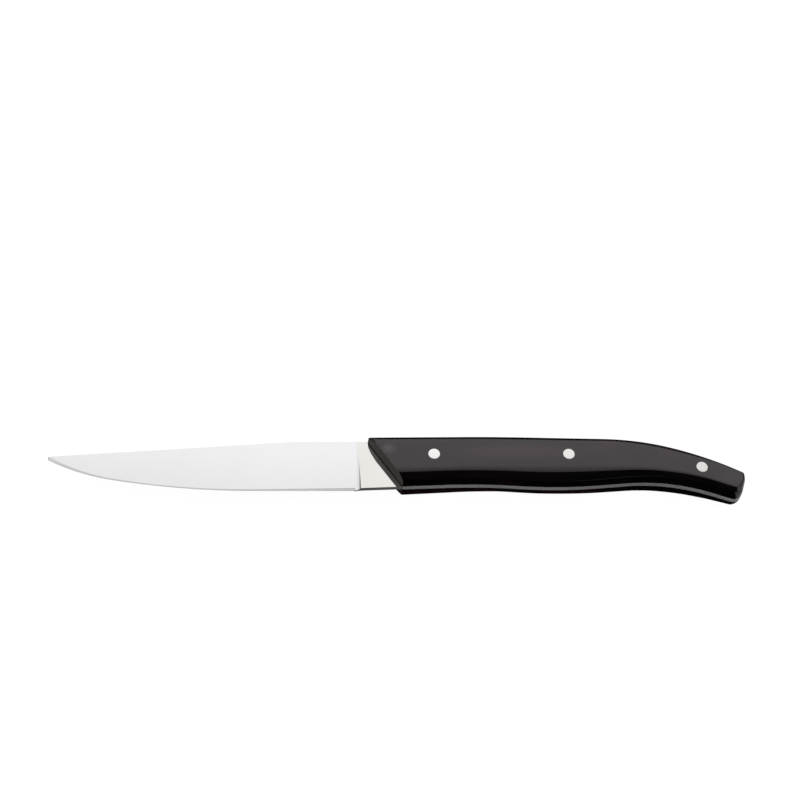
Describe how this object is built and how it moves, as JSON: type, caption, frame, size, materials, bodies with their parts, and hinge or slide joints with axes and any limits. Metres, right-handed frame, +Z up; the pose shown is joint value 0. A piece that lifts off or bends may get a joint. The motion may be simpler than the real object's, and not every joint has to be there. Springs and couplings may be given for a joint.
{
  "type": "steak knife",
  "caption": "Full-tang steak knife with a plain, slender, pointed blade and a dark, gently curved handle of two scales held by round pins.",
  "frame": {"origin": "centre of the knife's outline seen from above, on the flat outer face of the lower scale", "axes": "+X from the point towards the butt, +Y from the cutting edge towards the spine, +Z up through the thickness, with the knife lying flat"},
  "size_m": [0.2342, 0.0224, 0.0137],
  "materials": {
    "blade_steel": "bright, finely polished stainless steel",
    "handle_wood": "nearly black wood, polished and glossy",
    "pin_steel": "stainless steel, ground flush and polished"
  },
  "bodies": {
    "root": {"blade_and_tang": "blade_steel", "lower_scale": "handle_wood", "upper_scale": "handle_wood", "front_pin": "pin_steel", "middle_pin": "pin_steel", "rear_pin": "pin_steel"}
  },
  "joints": []
}
